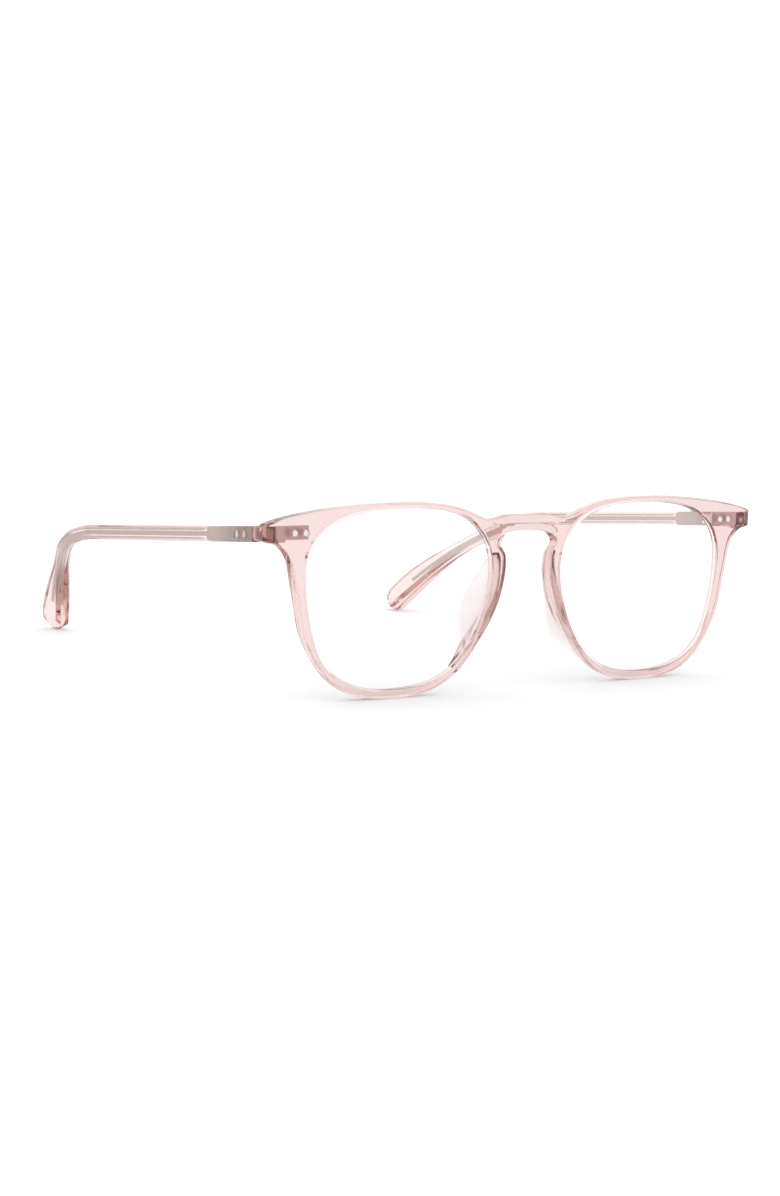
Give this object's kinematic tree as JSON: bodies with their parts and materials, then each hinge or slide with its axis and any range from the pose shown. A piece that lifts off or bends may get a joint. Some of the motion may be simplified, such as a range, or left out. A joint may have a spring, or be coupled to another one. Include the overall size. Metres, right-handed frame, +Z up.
{
  "type": "blue light glasses",
  "caption": "Clear-lens glasses in translucent pink acetate, with a keyhole bridge, nose pads and folding wire-cored temples on riveted hinges.",
  "frame": {"origin": "middle of the footprint, on the surface that the rims and the temple tips rest on", "axes": "+X to the wearer's left, +Y back along the temples, +Z up; the front faces -Y"},
  "size_m": [0.1464, 0.139, 0.0455],
  "materials": {
    "acetate": "polished, translucent",
    "pad": "polished, nearly clear",
    "lens": "clear, coated",
    "core_metal": "fine texture",
    "hinge_metal": "satin",
    "rivet_metal": "polished",
    "screw_metal": "satin"
  },
  "bodies": {
    "front": {"front_frame": "acetate", "lens_left": "lens", "lens_right": "lens", "nose_pad_left": "pad", "nose_pad_right": "pad", "front_hinge_left": "hinge_metal", "front_hinge_right": "hinge_metal", "front_rivets_left": "rivet_metal", "front_rivets_right": "rivet_metal", "hinge_screw_left": "screw_metal", "hinge_screw_right": "screw_metal"},
    "left_temple": {"temple_left": "acetate", "temple_hinge_left": "hinge_metal", "temple_rivets_left": "rivet_metal", "core_wire_left": "core_metal"},
    "right_temple": {"temple_right": "acetate", "temple_hinge_right": "hinge_metal", "temple_rivets_right": "rivet_metal", "core_wire_right": "core_metal"}
  },
  "joints": [
    {"name": "temple_left_fold", "type": "hinge", "parent": "front", "child": "left_temple", "pos_m": [0.06755, -0.06228, 0.03861], "axis": [0, 0, 1], "range_deg": [0, 84]},
    {"name": "temple_right_fold", "type": "hinge", "parent": "front", "child": "right_temple", "pos_m": [-0.06755, -0.06228, 0.03861], "axis": [0, 0, -1], "range_deg": [0, 74]}
  ]
}
